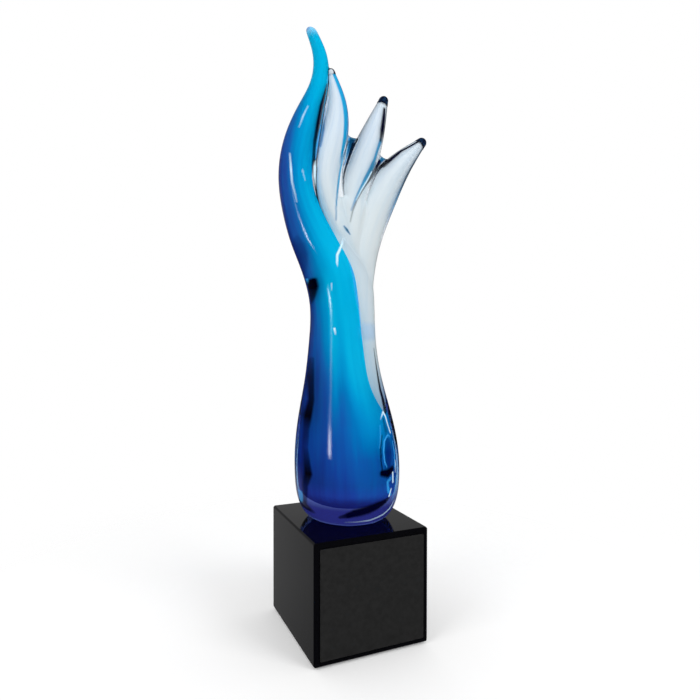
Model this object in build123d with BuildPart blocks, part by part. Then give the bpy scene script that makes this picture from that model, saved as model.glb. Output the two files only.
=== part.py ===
# A wave of cased art glass on a black crystal cube: a round bulb that narrows to a neck and
# parts into a tall blue flame and three white fingers.
# Millimetres, +Z up, the front faces -Y. The origin is the middle of the underside.

import os

from build123d import *

os.makedirs("parts", exist_ok=True)

# Black crystal cube and the felt under it
cube_width = 76.2
cube_depth = 76.2
cube_height = 71.6
polished_bevel = 1.0
pad_thickness = 1.0
pad_inset = 3.0
pad_corner = 4.0

# Bare plate on the front of the cube, and the adhesive film behind it
plate_margin = 3.6
plate_thickness = 0.6
plate_corner = 0.6
plate_edge_break = 0.15
tape_thickness = 0.2
tape_inset = 0.8

# Clear adhesive film under the ground foot of the glass
bond_thickness = 0.3
bond_inset = 1.0

# Stem of the glass: height from the ground foot to the middle of the flame's tip, widest
# radius of the bulb, and how far the flame's spine swings to the left
stem_rise = 310.0
bulb_radius = 34.5
flame_swing = 33.0
flame_tip_radius = 3.5
tip_swell = 0.1

# Fingers: how far the tip reaches to the right, how high it rises above the foot, how far it
# leans forward, and the fattest half width of the finger
upper_reach = -12.0
upper_rise = 285.8
upper_lean = 2.0
upper_half_width = 10.2
middle_reach = 27.1
middle_rise = 275.0
middle_lean = 0.8
middle_half_width = 10.4
lower_reach = 57.2
lower_rise = 251.5
lower_lean = 0.4
lower_half_width = 13.4

# Dark beads melted on to the fingertips: radius, and how deep each covers the white core
upper_bead_radius = 3.0
upper_bead_cover = 1.2
middle_bead_radius = 3.4
middle_bead_cover = 5.0
lower_bead_radius = 3.7
lower_bead_cover = 5.4
bead_overhang = 0.25

# Webs of clear glass between neighbouring limbs: the lowest point of each crotch, the side step
# of its heel down in the palm, and the hollow arc that rims them
flame_crotch_reach = -13.7
flame_crotch_rise = 272.0
flame_heel_reach = -22.0
upper_crotch_reach = 5.0
upper_crotch_rise = 247.0
upper_heel_reach = -3.5
lower_crotch_reach = 29.7
lower_crotch_rise = 236.5
lower_heel_reach = 7.0
web_drop = 58.0
web_half_thickness = 2.8
crotch_half_span = 7.5
heel_half_span = 3.5
crotch_hollow = 4.0

# White core: the fattest half width it would have in the upper finger if it filled the glass,
# and how round the top of its palm is
upper_core_half_width = 11.6
palm_rounding = 2.5

# Rounding of the blue core's floor, which stands clear of the foot
core_floor_rounding = 9.0

block_top = pad_thickness + cube_height
foot_level = block_top + bond_thickness

# Stem stations: height up the stem, side step as a share of the flame's swing, half width as a
# share of the bulb's radius, and depth as a share of width
stem_shares = [
    (0.000, 0.02, 0.640, 1.00),
    (0.010, 0.02, 0.790, 1.00),
    (0.035, 0.02, 0.920, 1.00),
    (0.085, 0.02, 0.990, 1.00),
    (0.140, 0.01, 0.982, 1.00),
    (0.210, -0.02, 0.890, 1.00),
    (0.290, -0.06, 0.732, 0.99),
    (0.370, -0.08, 0.635, 0.97),
    (0.450, -0.09, 0.618, 0.94),
    (0.510, -0.21, 0.645, 0.90),
    (0.570, -0.52, 0.580, 0.86),
    (0.630, -0.81, 0.470, 0.86),
    (0.700, -0.98, 0.395, 0.88),
    (0.780, -0.93, 0.338, 0.90),
    (0.850, -0.74, 0.248, 0.94),
    (0.910, -0.56, 0.165, 0.98),
    (0.960, -0.57, 0.130, 1.00),
]
tip_side_share = -0.73

# Blue core at the same stations, from the third one up: how far it sits to the side, its half
# width and its half depth, each as a share of the casing's half width or half depth there
core_floor_station = 2
blue_core_shares = [
    (0.00, 0.61, 0.61),
    (0.00, 0.62, 0.62),
    (0.00, 0.62, 0.62),
    (-0.02, 0.62, 0.62),
    (-0.08, 0.62, 0.64),
    (-0.15, 0.60, 0.66),
    (-0.22, 0.60, 0.66),
    (-0.22, 0.60, 0.66),
    (-0.20, 0.60, 0.66),
    (-0.20, 0.60, 0.66),
    (-0.20, 0.60, 0.68),
    (-0.06, 0.68, 0.70),
    (0.00, 0.70, 0.70),
    (0.00, 0.70, 0.70),
    (0.00, 0.70, 0.70),
]
tip_core_share = 0.70

# White palm from its pointed tail beside the bulb to the roots of the fingers: height as a
# share of the stem's rise, then side step, step forward, half width and half depth, each as a
# share of the bulb's radius
palm_shares = [
    (0.216, 0.450, -0.217, 0.029, 0.035),
    (0.245, 0.365, -0.217, 0.145, 0.130),
    (0.287, 0.295, -0.188, 0.203, 0.188),
    (0.329, 0.283, -0.145, 0.209, 0.203),
    (0.371, 0.272, -0.116, 0.214, 0.203),
    (0.413, 0.232, -0.087, 0.232, 0.203),
    (0.455, 0.180, -0.072, 0.261, 0.203),
    (0.497, 0.122, -0.058, 0.301, 0.203),
    (0.535, 0.041, -0.058, 0.354, 0.203),
    (0.574, -0.040, -0.058, 0.400, 0.203),
    (0.612, -0.015, -0.055, 0.405, 0.203),
    (0.645, 0.020, -0.052, 0.390, 0.200),
    (0.672, 0.045, -0.050, 0.370, 0.195),
]

# Finger spines: side step as a share of the finger's reach, height as a share of its rise
upper_spine_shares = [
    (0.10, 0.60),
    (0.85, 0.68),
    (1.22, 0.76),
    (0.80, 0.86),
    (0.63, 0.93),
    (1.00, 1.00),
]
upper_core_spine_shares = [
    (0.40, 0.60),
    (1.10, 0.68),
    (1.36, 0.76),
    (0.88, 0.86),
    (0.65, 0.93),
    (1.00, 1.00),
]
middle_spine_shares = [
    (0.02, 0.63),
    (0.06, 0.72),
    (0.22, 0.79),
    (0.60, 0.89),
    (1.00, 1.00),
]
lower_spine_shares = [
    (0.10, 0.51),
    (0.10, 0.61),
    (0.16, 0.70),
    (0.35, 0.81),
    (0.66, 0.92),
    (1.00, 1.00),
]

# Along a finger: distance, how far it swells from its tip's radius to its fattest half width,
# its depth as a share of its width, and the share of it that the white core fills
finger_shares = [
    (0.00, 0.62, 1.50, 0.70),
    (0.16, 0.84, 1.28, 0.62),
    (0.32, 0.97, 1.06, 0.62),
    (0.48, 1.00, 0.92, 0.62),
    (0.64, 0.90, 0.88, 0.64),
    (0.80, 0.58, 0.92, 0.70),
    (1.00, 0.00, 1.00, 0.80),
]

# The lower finger's white core springs from the palm at the second of these stations
lower_core_station = 1
web_rounding_share = 0.8
nose_core_share = finger_shares[-1][3]


def limb(sections, tip=None, tip_radius=0):
    """A limb of glass, lofted through ellipses given as plane, half width and half depth, with a
    round tip where one is asked for."""
    with BuildPart() as glass:
        for plane, half_width, half_depth in sections:
            with BuildSketch(plane):
                Ellipse(half_width, half_depth)
        loft()
        if tip:
            with Locations(tip):
                Sphere(tip_radius + tip_swell)
    return glass.part


def level_plane(reach, rise, forward=0):
    """A level plane at a point given by its side step, its height above the foot and its step
    to the front or back."""
    return Plane(origin=(reach, forward, foot_level + rise), x_dir=(1, 0, 0), z_dir=(0, 0, 1))


def finger_spine(reach, rise, lean, spine_shares):
    """The smooth middle line of a finger, from inside the neck to the middle of its tip."""
    points = []
    for side_share, height_share in spine_shares:
        points.append((side_share * reach, -lean * height_share, foot_level + height_share * rise))
    with BuildLine() as spine:
        Spline(*points)
    return spine.edge()


def square_plane(spine, share):
    """A plane square to a spine, with its X in the plane of the fan."""
    along = spine.tangent_at(share)
    return Plane(origin=spine.position_at(share), x_dir=Vector(0, 1, 0).cross(along), z_dir=along)


def finger_sections(spine, half_width, tip_radius, last_share=1, core=False):
    """Ellipses of the clear glass along a finger, or of the white core inside it, from the root
    to a share of the spine."""
    sections = []
    for share, swell, depth_share, core_share in finger_shares:
        width = tip_radius + swell * (half_width - tip_radius)
        if core:
            width = width * core_share
        sections.append((square_plane(spine, share * last_share), width, width * depth_share))
    return sections


def web(crotch_reach, crotch_rise, heel_reach):
    """Flat web of glass between two limbs, from the palm up to the hollow of its crotch."""
    crotch_level = foot_level + crotch_rise
    low = (crotch_reach, crotch_level)
    left = (crotch_reach - crotch_half_span, crotch_level + crotch_hollow)
    right = (crotch_reach + crotch_half_span, crotch_level + crotch_hollow)
    heel_left = (heel_reach - heel_half_span, crotch_level - web_drop)
    heel_right = (heel_reach + heel_half_span, crotch_level - web_drop)
    with BuildPart() as glass:
        with BuildSketch(Plane.XZ):
            with BuildLine():
                hollow = ThreePointArc(left, low, right)
                Polyline(hollow @ 1, heel_right, heel_left, hollow @ 0)
            make_face()
        extrude(amount=web_half_thickness, both=True)
        rim = glass.faces().filter_by(GeomType.CYLINDER).edges().filter_by(GeomType.CIRCLE)
        fillet(rim, web_half_thickness * web_rounding_share)
    return glass.part


# Crystal cube
with BuildPart() as base_block:
    with BuildSketch(Plane.XY.offset(pad_thickness)):
        Rectangle(cube_width, cube_depth)
    extrude(amount=cube_height)
    chamfer(base_block.edges(), polished_bevel)
base_block.part.label = "base_block"
export_step(base_block.part, "parts/base_block.step")

# Felt pad under the cube
with BuildPart() as felt_pad:
    with BuildSketch():
        RectangleRounded(cube_width - 2 * pad_inset, cube_depth - 2 * pad_inset, pad_corner)
    extrude(amount=pad_thickness)
felt_pad.part.label = "felt_pad"
export_step(felt_pad.part, "parts/felt_pad.step")

# Plate and its adhesive film, on the front of the cube
face_middle = (0, -cube_depth / 2, pad_thickness + cube_height / 2)
cube_front = Plane(origin=face_middle, x_dir=(1, 0, 0), z_dir=(0, -1, 0))
plate_width = cube_width - 2 * plate_margin
plate_height = cube_height - 2 * plate_margin

with BuildPart() as plate_tape:
    with BuildSketch(cube_front):
        Rectangle(plate_width - 2 * tape_inset, plate_height - 2 * tape_inset)
    extrude(amount=tape_thickness)
plate_tape.part.label = "plate_tape"
export_step(plate_tape.part, "parts/plate_tape.step")

with BuildPart() as engraving_plate:
    with BuildSketch(cube_front.offset(tape_thickness)):
        RectangleRounded(plate_width, plate_height, plate_corner)
    extrude(amount=plate_thickness)
    chamfer(engraving_plate.faces().sort_by(Axis.Y)[0].edges(), plate_edge_break)
engraving_plate.part.label = "engraving_plate"
export_step(engraving_plate.part, "parts/engraving_plate.step")

# Adhesive film between the cube and the ground foot
foot_reach = stem_shares[0][1] * flame_swing
foot_radius = stem_shares[0][2] * bulb_radius
with BuildPart() as bond_disc:
    with BuildSketch(Plane(origin=(foot_reach, 0, block_top))):
        Circle(foot_radius - bond_inset)
    extrude(amount=bond_thickness)
bond_disc.part.label = "bond_disc"
export_step(bond_disc.part, "parts/bond_disc.step")

# Stem of the glass from foot to flame, and the blue core inside it
stem_sections = []
for height, side, width, depth in stem_shares:
    half_width = width * bulb_radius
    plane = level_plane(side * flame_swing, height * stem_rise)
    stem_sections.append((plane, half_width, half_width * depth))
core_sections = []
for casing_row, core_row in zip(stem_shares[core_floor_station:], blue_core_shares):
    height, side, width, depth = casing_row
    shift, core_width, core_depth = core_row
    half_width = width * bulb_radius
    plane = level_plane(side * flame_swing + shift * half_width, height * stem_rise)
    core_sections.append((plane, half_width * core_width, half_width * depth * core_depth))
flame_tip = level_plane(tip_side_share * flame_swing, stem_rise)
tip_core_radius = flame_tip_radius * tip_core_share
stem_sections.append((flame_tip, flame_tip_radius, flame_tip_radius))
core_sections.append((flame_tip, tip_core_radius, tip_core_radius))
stem_glass = limb(stem_sections, flame_tip.origin, flame_tip_radius)

with BuildPart() as blue_core:
    add(limb(core_sections, flame_tip.origin, tip_core_radius))
    fillet(blue_core.faces().sort_by(Axis.Z)[0].edges(), core_floor_rounding)
blue_core.part.label = "blue_core"
export_step(blue_core.part, "parts/blue_core.step")

# Fingers of clear glass, and the white core inside each
upper_spine = finger_spine(upper_reach, upper_rise, upper_lean, upper_spine_shares)
middle_spine = finger_spine(middle_reach, middle_rise, middle_lean, middle_spine_shares)
lower_spine = finger_spine(lower_reach, lower_rise, lower_lean, lower_spine_shares)
upper_core_spine = finger_spine(upper_reach, upper_rise, upper_lean, upper_core_spine_shares)
fingers = [
    ("fingertip_upper", upper_spine, upper_half_width, upper_bead_radius, upper_bead_cover),
    ("fingertip_middle", middle_spine, middle_half_width, middle_bead_radius, middle_bead_cover),
    ("fingertip_lower", lower_spine, lower_half_width, lower_bead_radius, lower_bead_cover),
]
finger_glass = []
finger_cores = []
for name, spine, half_width, bead_radius, bead_cover in fingers:
    tip_radius = bead_radius - bead_overhang
    finger_glass.append(limb(finger_sections(spine, half_width, tip_radius)))
    nose_radius = tip_radius * nose_core_share
    last_share = 1 - max(0, bead_cover + nose_radius - bead_radius) / spine.length
    if spine is upper_spine:
        spine = upper_core_spine
        half_width = upper_core_half_width
    sections = finger_sections(spine, half_width, tip_radius, last_share, core=True)
    if spine is lower_spine:
        sections = sections[lower_core_station:]
    finger_cores.append(limb(sections, spine.position_at(last_share), nose_radius))

# White palm that the fingers' cores spring from
palm_sections = []
for height, side, forward, width, depth in palm_shares:
    plane = level_plane(side * bulb_radius, height * stem_rise, forward * bulb_radius)
    palm_sections.append((plane, width * bulb_radius, depth * bulb_radius))
with BuildPart() as palm:
    add(limb(palm_sections))
    fillet(palm.faces().sort_by(Axis.Z)[-1].edges(), palm_rounding)

with BuildPart() as opal_core:
    for glass in [palm.part] + finger_cores:
        add(glass)
    add(blue_core.part, mode=Mode.SUBTRACT)
opal_core.part.label = "opal_core"
export_step(opal_core.part, "parts/opal_core.step")

# Beads on the fingertips, each over the nose of the white core
beads = []
for name, spine, half_width, bead_radius, bead_cover in fingers:
    with BuildPart() as fingertip:
        with Locations(spine.position_at(1)):
            Sphere(bead_radius)
        add(opal_core.part, mode=Mode.SUBTRACT)
        add(blue_core.part, mode=Mode.SUBTRACT)
    fingertip.part.label = name
    export_step(fingertip.part, "parts/" + name + ".step")
    beads.append(fingertip.part)

# Clear casing round the cores and under the beads
webs = [
    web(flame_crotch_reach, flame_crotch_rise, flame_heel_reach),
    web(upper_crotch_reach, upper_crotch_rise, upper_heel_reach),
    web(lower_crotch_reach, lower_crotch_rise, lower_heel_reach),
]
with BuildPart() as clear_casing:
    add(stem_glass)
    for glass in finger_glass + webs:
        add(glass)
    for glass in [blue_core.part, opal_core.part] + beads:
        add(glass, mode=Mode.SUBTRACT)
clear_casing.part.label = "clear_casing"
export_step(clear_casing.part, "parts/clear_casing.step")
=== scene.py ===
# %% [markdown]
# # A wave of cased art glass on a black crystal cube
# The object is a solid, free-formed piece of furnace glass. A round bulb of cobalt narrows to a
# neck and then parts into a tall blue flame and three white fingers, each with a dark bead
# melted on to its tip. Colour sits deep inside, under a thick casing of clear glass, and the
# casing works as a lens. So this lesson builds the colour and the casing as separate solids and
# lets the refraction do the rest.

# %% The frame
import math

import bmesh
import bpy
import numpy as np
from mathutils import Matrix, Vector


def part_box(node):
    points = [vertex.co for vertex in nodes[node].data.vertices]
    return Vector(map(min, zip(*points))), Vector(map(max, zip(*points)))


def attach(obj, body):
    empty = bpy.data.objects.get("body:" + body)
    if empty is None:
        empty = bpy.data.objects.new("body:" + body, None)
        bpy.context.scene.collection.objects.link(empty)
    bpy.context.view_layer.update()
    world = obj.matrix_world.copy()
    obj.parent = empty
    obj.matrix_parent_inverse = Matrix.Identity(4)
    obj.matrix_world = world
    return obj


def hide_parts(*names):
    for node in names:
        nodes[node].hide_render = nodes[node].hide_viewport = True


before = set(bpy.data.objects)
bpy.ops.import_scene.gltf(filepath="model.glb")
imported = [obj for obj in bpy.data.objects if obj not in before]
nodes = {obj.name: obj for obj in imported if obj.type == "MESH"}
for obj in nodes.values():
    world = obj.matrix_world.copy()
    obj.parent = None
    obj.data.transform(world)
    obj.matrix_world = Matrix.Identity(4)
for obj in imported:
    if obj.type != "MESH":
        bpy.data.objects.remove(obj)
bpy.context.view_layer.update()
print("frame nodes:", len(nodes))

# %% [markdown]
# ## The camera
# The photograph looks at the cube's left front edge from a little above the cube. A camera could
# be set by eye, but a cube of known size fixes its place and its lens. So both were worked out
# from the cube's six corners that the photograph shows.

# %% Camera
camera_place = Vector((-0.1494, -0.3099, 0.1871))
camera_forward = Vector((0.3653, 0.9307, -0.0157)).normalized()

camera = bpy.data.objects.new("camera", bpy.data.cameras.new("camera"))
camera.data.sensor_width = 36.0
camera.data.lens = 26.88
camera.data.shift_x = 0.0621
camera.data.clip_start = 0.01
camera.location = camera_place
camera.rotation_euler = camera_forward.to_track_quat("-Z", "Y").to_euler()
bpy.context.scene.collection.objects.link(camera)
bpy.context.scene.camera = camera
print("camera lens:", camera.data.lens)

# %% [markdown]
# ## The sizes of the glass
# The glass stands on the cube on a ground foot, and every height below is counted from that foot.
# Each row of a table could hold plain metres. Shares of a few driving sizes are better, because
# one size can then be changed and the shape follows.

# %% Sizes
mm = 0.001
foot_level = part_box("clear_casing")[0].z
stem_rise = 0.310
bulb_radius = 0.0345
flame_swing = 0.033
flame_tip_radius = 0.0035
tip_side_share = -0.73

# height as a share of the rise, side step as a share of the swing, half width as a share of the
# bulb's radius, and depth as a share of the width
stem_shares = [
    (0.000, 0.02, 0.640, 1.00),
    (0.010, 0.02, 0.790, 1.00),
    (0.035, 0.02, 0.920, 1.00),
    (0.085, 0.02, 0.990, 1.00),
    (0.140, 0.01, 0.982, 1.00),
    (0.210, -0.02, 0.890, 1.00),
    (0.290, -0.06, 0.732, 0.99),
    (0.370, -0.08, 0.635, 0.97),
    (0.450, -0.09, 0.618, 0.94),
    (0.510, -0.21, 0.645, 0.90),
    (0.570, -0.52, 0.580, 0.86),
    (0.630, -0.81, 0.470, 0.86),
    (0.700, -0.98, 0.395, 0.88),
    (0.780, -0.93, 0.338, 0.90),
    (0.850, -0.74, 0.248, 0.94),
    (0.910, -0.56, 0.165, 0.98),
    (0.960, -0.57, 0.130, 1.00),
]
print("stem stations:", len(stem_shares))

# %% [markdown]
# ## Smooth lines and meshes
# Glass that was drawn out hot has no corners in its outline, but a short table of sizes has one at
# each row. A natural cubic curve passes through every row and bends evenly between them. Blender's
# own curves could do that for places, but this one also smooths widths and depths.

# %% Smooth curve
def smooth_curve(points, samples):
    """A natural cubic curve through the points, which may have any number of columns."""
    points = np.array(points, float)
    count = len(points)
    places = np.concatenate([[0.0], np.cumsum(np.linalg.norm(np.diff(points, axis=0), axis=1))])
    steps = np.diff(places)
    slopes = np.diff(points, axis=0) / steps[:, None]
    matrix = np.eye(count)
    right = np.zeros_like(points)
    for i in range(1, count - 1):
        matrix[i, i - 1:i + 2] = steps[i - 1], 2 * (steps[i - 1] + steps[i]), steps[i]
        right[i] = 6 * (slopes[i] - slopes[i - 1])
    bends = np.linalg.solve(matrix, right)
    at = np.asarray(samples, float) * places[-1]
    span = np.clip(np.searchsorted(places, at, side="right") - 1, 0, count - 2)
    step = steps[span][:, None]
    before = (at - places[span])[:, None]
    after = step - before
    curve = (bends[span] * after ** 3 + bends[span + 1] * before ** 3) / (6 * step)
    curve += (points[span] / step - bends[span] * step / 6) * after
    curve += (points[span + 1] / step - bends[span + 1] * step / 6) * before
    return curve


print("half way from 0 to 1:", smooth_curve([(0, 0), (1, 1)], [0.5])[0])

# %% Mesh piece
def mesh_piece(name, verts, faces, attributes=None, smooth=True):
    """A new mesh object, with its extra numbers stored on the vertices."""
    mesh = bpy.data.meshes.new(name)
    mesh.from_pydata([tuple(v) for v in verts], [], faces)
    mesh.validate()
    for key, values in (attributes or {}).items():
        layer = mesh.attributes.new(key, "FLOAT", "POINT")
        layer.data.foreach_set("value", np.asarray(values, np.float32))
    if smooth:
        mesh.shade_smooth()
    piece = bpy.data.objects.new(name, mesh)
    bpy.context.scene.collection.objects.link(piece)
    return piece


def face_outward(piece):
    """Turns every face of a closed mesh outward."""
    work = bmesh.new()
    work.from_mesh(piece.data)
    bmesh.ops.recalc_face_normals(work, faces=work.faces)
    work.to_mesh(piece.data)
    work.free()


print("mesh helpers ready in collection:", bpy.context.scene.collection.name)

# %% [markdown]
# ## A limb
# Every limb is drawn out of hot glass, so its section is a soft ellipse that changes slowly. A
# bevelled curve could draw it, but its section would keep one shape, so a limb is a loft of
# rings. Each vertex remembers how far along the limb it is, and how far round, in half turns: 0
# faces the front left of the piece, where the plate's corner is, 0.5 is a quarter turn to the
# right, and 1 or -1 is the back. The colours use both.

# %% Limb
ring_sides = 96
dome_steps = 8
facing = math.radians(-90 - 25.7)


def dome(ring, up, height):
    """Rings that shrink round from a limb's end ring to its pole."""
    centre, side, front, width, depth, share = ring
    rings = []
    for k in range(1, dome_steps if height else 1):
        turn = k / dome_steps * math.pi / 2
        lift, shrink = math.sin(turn), math.cos(turn)
        rings.append((centre + up * height * lift, side, front, width * shrink, depth * shrink, share))
    return rings


def limb(name, centres, sides, widths, depths, along, round_start=0.0, round_end=0.0):
    """A closed limb lofted through ellipses. Its ends close in domes of the given heights."""
    centres = [Vector(centre) for centre in centres]
    final = len(centres) - 1
    ups = [(centres[min(i + 1, final)] - centres[max(i - 1, 0)]).normalized() for i in range(final + 1)]
    rings = []
    for centre, side, up, width, depth, share in zip(centres, sides, ups, widths, depths, along):
        side = Vector(side)
        rings.append((centre, side, side.cross(up).normalized() * -1, width, depth, share))
    poles = [centres[0] - ups[0] * round_start, centres[-1] + ups[-1] * round_end]
    rings = dome(rings[0], -ups[0], round_start)[::-1] + rings + dome(rings[-1], ups[-1], round_end)
    verts, around, alongs = [], [], []
    for centre, side, front, width, depth, share in rings:
        for k in range(ring_sides):
            turn = facing + math.pi * (2 * k / ring_sides - 1)
            verts.append(centre + side * (width * math.cos(turn)) + front * (depth * math.sin(turn)))
            around.append(2 * k / ring_sides - 1)
            alongs.append(share)
    bottom, top, last = len(verts), len(verts) + 1, len(verts) - ring_sides
    faces = []
    for low in range(0, last, ring_sides):
        high = low + ring_sides
        for k in range(ring_sides):
            j = (k + 1) % ring_sides
            faces.append((low + k, low + j, high + j, high + k))
    for k in range(ring_sides):
        j = (k + 1) % ring_sides
        faces += [(bottom, j, k), (top, last + k, last + j)]
    alongs += [alongs[0], alongs[-1]]
    piece = mesh_piece(name, verts + poles, faces, {"around": around + [0.0, 0.0], "along": alongs})
    face_outward(piece)
    return piece


print("corners in a ring:", ring_sides)

# %% [markdown]
# ## The stem
# Bulb, neck and flame are one gather of glass, so they are one limb with level rings. They could
# be three pieces joined later, but a joint would show as a ripple in the reflections.

# %% Stem rings
stem_rings = 240


def stem_curve(shares):
    """Rings of the stem: side step, height, half width and half depth, in metres."""
    rows = []
    for height, side, width, depth in shares:
        half_width = width * bulb_radius
        rows.append((side * flame_swing, height * stem_rise, half_width, half_width * depth))
    rows.append((tip_side_share * flame_swing, stem_rise, flame_tip_radius, flame_tip_radius))
    return smooth_curve(rows, np.linspace(0, 1, stem_rings))


def level_rows(rows):
    """Centres and sides of level rings."""
    return [(row[0], 0.0, foot_level + row[1]) for row in rows], [(1.0, 0.0, 0.0)] * len(rows)


def level_limb(name, rows, round_start, round_end):
    """A limb of level rings, its places along it given as height above the foot in metres."""
    return limb(name, *level_rows(rows), rows[:, 2], rows[:, 3], rows[:, 1], round_start, round_end)


stem_glass = level_limb("stem_glass", stem_curve(stem_shares), 0.0, flame_tip_radius)
print("stem vertices:", len(stem_glass.data.vertices))

# %% [markdown]
# ## The blue core
# The maker gathers the blue first and dips it in clear glass, so the blue follows the outside at a
# distance. A shrunken copy of the casing would fill the neck too evenly. So each row gives the
# core's shift and size as shares of the casing's ring at that height. The core lies a little to
# the left in the neck, where the white runs past it, and ends in a round floor well above the
# foot, which leaves the clear heel that the real bulb shows.

# %% Blue core
core_floor_round = 0.0084
tip_core_share = 0.85
core_tip_radius = flame_tip_radius * tip_core_share
# height as a share of the rise, then the shift to the side, the half width and the half depth,
# each as a share of the casing's own
blue_core_shares = [
    (0.062, 0.00, 0.61, 0.61),
    (0.085, 0.00, 0.62, 0.62),
    (0.140, 0.00, 0.62, 0.62),
    (0.210, -0.02, 0.62, 0.62),
    (0.290, -0.08, 0.62, 0.64),
    (0.370, -0.15, 0.60, 0.66),
    (0.450, -0.22, 0.60, 0.66),
    (0.510, -0.22, 0.60, 0.66),
    (0.570, -0.20, 0.60, 0.66),
    (0.630, -0.20, 0.60, 0.66),
    (0.700, -0.20, 0.60, 0.68),
    (0.780, -0.06, 0.68, 0.70),
    (0.850, 0.00, 0.70, 0.70),
    (0.910, 0.00, 0.74, 0.72),
    (0.960, 0.00, 0.80, 0.78),
]


def blue_core_rows():
    """Rings of the blue core, each a share of the casing's ring at the same height."""
    casing_rows = stem_curve(stem_shares)
    rows = []
    for share, shift, width, depth in blue_core_shares:
        height = share * stem_rise
        ring = [np.interp(height, casing_rows[:, 1], casing_rows[:, k]) for k in range(4)]
        rows.append((ring[0] + shift * ring[2], height, ring[2] * width, ring[3] * depth))
    rows.append((tip_side_share * flame_swing, stem_rise, core_tip_radius, core_tip_radius))
    return smooth_curve(rows, np.linspace(0, 1, stem_rings))


blue_core = level_limb("blue_glass_core", blue_core_rows(), core_floor_round, core_tip_radius)
print("blue core vertices:", len(blue_core.data.vertices))

# %% [markdown]
# ## The fingers
# Each finger was pulled out of the palm on its own while it was soft. Straight cones would look
# stiff, so each finger has a spine, which is a smooth curve through a few points, and its rings
# stand square to that. The upper finger's white bows out further than its glass, so that one has
# a second spine for its core.

# %% Finger sizes
finger_rings = 150
# reach, rise and lean place the tip, and each point of the spine is a share of reach and rise
fingers = {
    "upper": {
        "reach": -0.0120, "rise": 0.2858, "lean": 0.0020, "half_width": 0.0102,
        "bead_radius": 0.0030, "bead_cover": 0.0012,
        "spine_shares": [
            (0.10, 0.60), (0.85, 0.68), (1.22, 0.76), (0.80, 0.86), (0.63, 0.93), (1.00, 1.00)],
        "core": {"half_width": 0.0122, "spine_shares": [
            (0.40, 0.60), (1.10, 0.68), (1.44, 0.76), (0.90, 0.86), (0.65, 0.93), (1.00, 1.00)]},
    },
    "middle": {
        "reach": 0.0271, "rise": 0.2750, "lean": 0.0008, "half_width": 0.0104,
        "bead_radius": 0.0034, "bead_cover": 0.0050,
        "spine_shares": [(0.02, 0.63), (0.06, 0.72), (0.22, 0.79), (0.60, 0.89), (1.00, 1.00)],
    },
    "lower": {
        "reach": 0.0572, "rise": 0.2515, "lean": 0.0004, "half_width": 0.0134,
        "bead_radius": 0.0037, "bead_cover": 0.0054,
        "spine_shares": [
            (0.10, 0.51), (0.10, 0.61), (0.16, 0.70), (0.35, 0.81), (0.66, 0.92), (1.00, 1.00)],
    },
}
bead_overhang = 0.00025
core_depth_share = 1.06
# share of the way up, swell of the width, depth as a share of the width, and the white's share
finger_shares = [
    (0.00, 0.62, 1.50, 0.70),
    (0.16, 0.84, 1.28, 0.62),
    (0.32, 0.97, 1.06, 0.62),
    (0.48, 1.00, 0.92, 0.62),
    (0.64, 0.90, 0.88, 0.64),
    (0.80, 0.58, 0.92, 0.70),
    (1.00, 0.00, 1.00, 0.80),
]
print("bead radii:", [finger["bead_radius"] for finger in fingers.values()])

# %% Finger rings
# The table's places are shrunk to a tenth before the curve is drawn, so that they don't outweigh
# its sizes, which are only millimetres.
place_weight = 0.1
size_samples = 400


def square_sides(tangents):
    """For each ring, the direction of its width: square to the limb, and level from the front."""
    return [Vector((0, 1, 0)).cross(Vector(tangent)).normalized() for tangent in tangents]


def finger_rows(finger, last_share=1.0, core=False):
    """Centres, sides, half widths and half depths of a finger's rings, root to tip."""
    spine_points = []
    for side_share, height_share in finger["spine_shares"]:
        place = (side_share * finger["reach"], -finger["lean"] * height_share)
        spine_points.append((*place, foot_level + height_share * finger["rise"]))
    samples = np.linspace(0, last_share, finger_rings)
    centres = smooth_curve(spine_points, samples)
    tip_radius = finger["bead_radius"] - bead_overhang
    table = []
    for share, swell, depth_share, core_share in finger_shares:
        width = tip_radius + swell * (finger["half_width"] - tip_radius)
        fill, deep = (core_share, min(depth_share, core_depth_share)) if core else (1.0, depth_share)
        table.append((share * last_share * place_weight, width * fill, width * fill * deep))
    sizes = smooth_curve(table, np.linspace(0, 1, size_samples))
    widths = np.interp(samples * place_weight, sizes[:, 0], sizes[:, 1])
    depths = np.interp(samples * place_weight, sizes[:, 0], sizes[:, 2])
    return centres, square_sides(np.gradient(centres, axis=0)), widths, depths, samples


def spine_length(finger):
    """Length of a finger's spine in metres."""
    centres = finger_rows(finger)[0]
    return float(np.linalg.norm(np.diff(centres, axis=0), axis=1).sum())


finger_glass = []
for name, finger in fingers.items():
    rows = finger_rows(finger)
    finger_glass.append(limb(name + "_glass", *rows, 0.0, rows[2][-1]))
    print(name, "finger, length in mm:", round(spine_length(finger) / mm, 1))

# %% [markdown]
# ## The white core
# The white glass runs from a pointed tail beside the neck up through a broad palm into the three
# fingers. It could be carved out of one block, but the real one was pulled apart limb by limb, so
# it is four limbs that are fused later. A long taper sinks each finger's root into the palm.

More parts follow.
